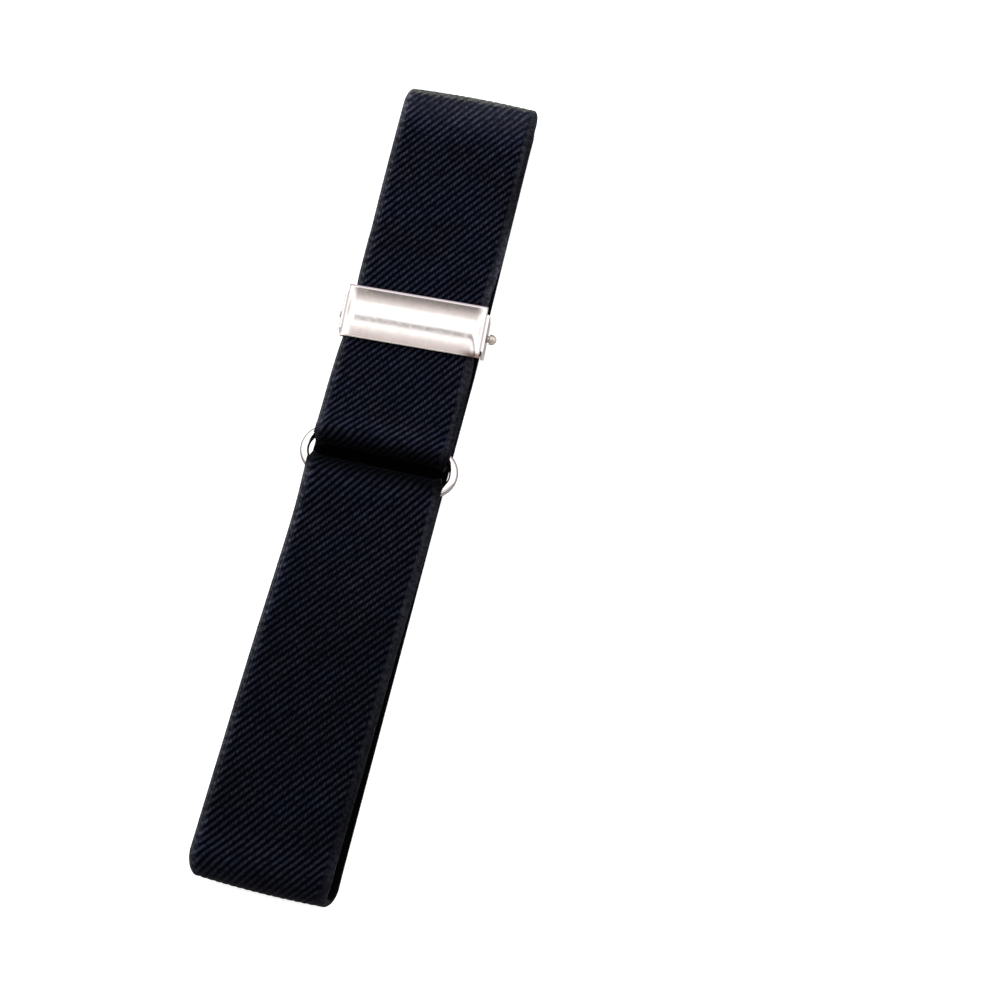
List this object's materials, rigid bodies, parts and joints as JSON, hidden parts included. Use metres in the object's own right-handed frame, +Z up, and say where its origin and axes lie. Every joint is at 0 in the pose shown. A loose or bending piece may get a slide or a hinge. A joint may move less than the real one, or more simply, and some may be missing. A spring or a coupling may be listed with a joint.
{
  "type": "shirt sleeve holder",
  "caption": "Flattened loop of black twill elastic with a pressed metal sliding adjuster and an oval wire ring, worn round the upper arm to hold up a shirt sleeve.",
  "frame": {"origin": "on the surface that the garter lies on, under the middle of its bounding box", "axes": "+X across the band towards the pin's headed end, +Y along the loop towards the fold above the adjuster, +Z up"},
  "size_m": [0.0294, 0.1515, 0.0094],
  "materials": {
    "webbing": "matt black twill elastic webbing",
    "nickel_wire": "bright nickel plated wire",
    "nickel_sheet": "bright nickel plated pressed sheet",
    "nickel_pin": "nickel plated pin"
  },
  "bodies": {
    "root": {"elastic_band": "webbing", "oval_ring": "nickel_wire", "slider_cover": "nickel_sheet", "slider_pin": "nickel_pin"}
  },
  "joints": []
}
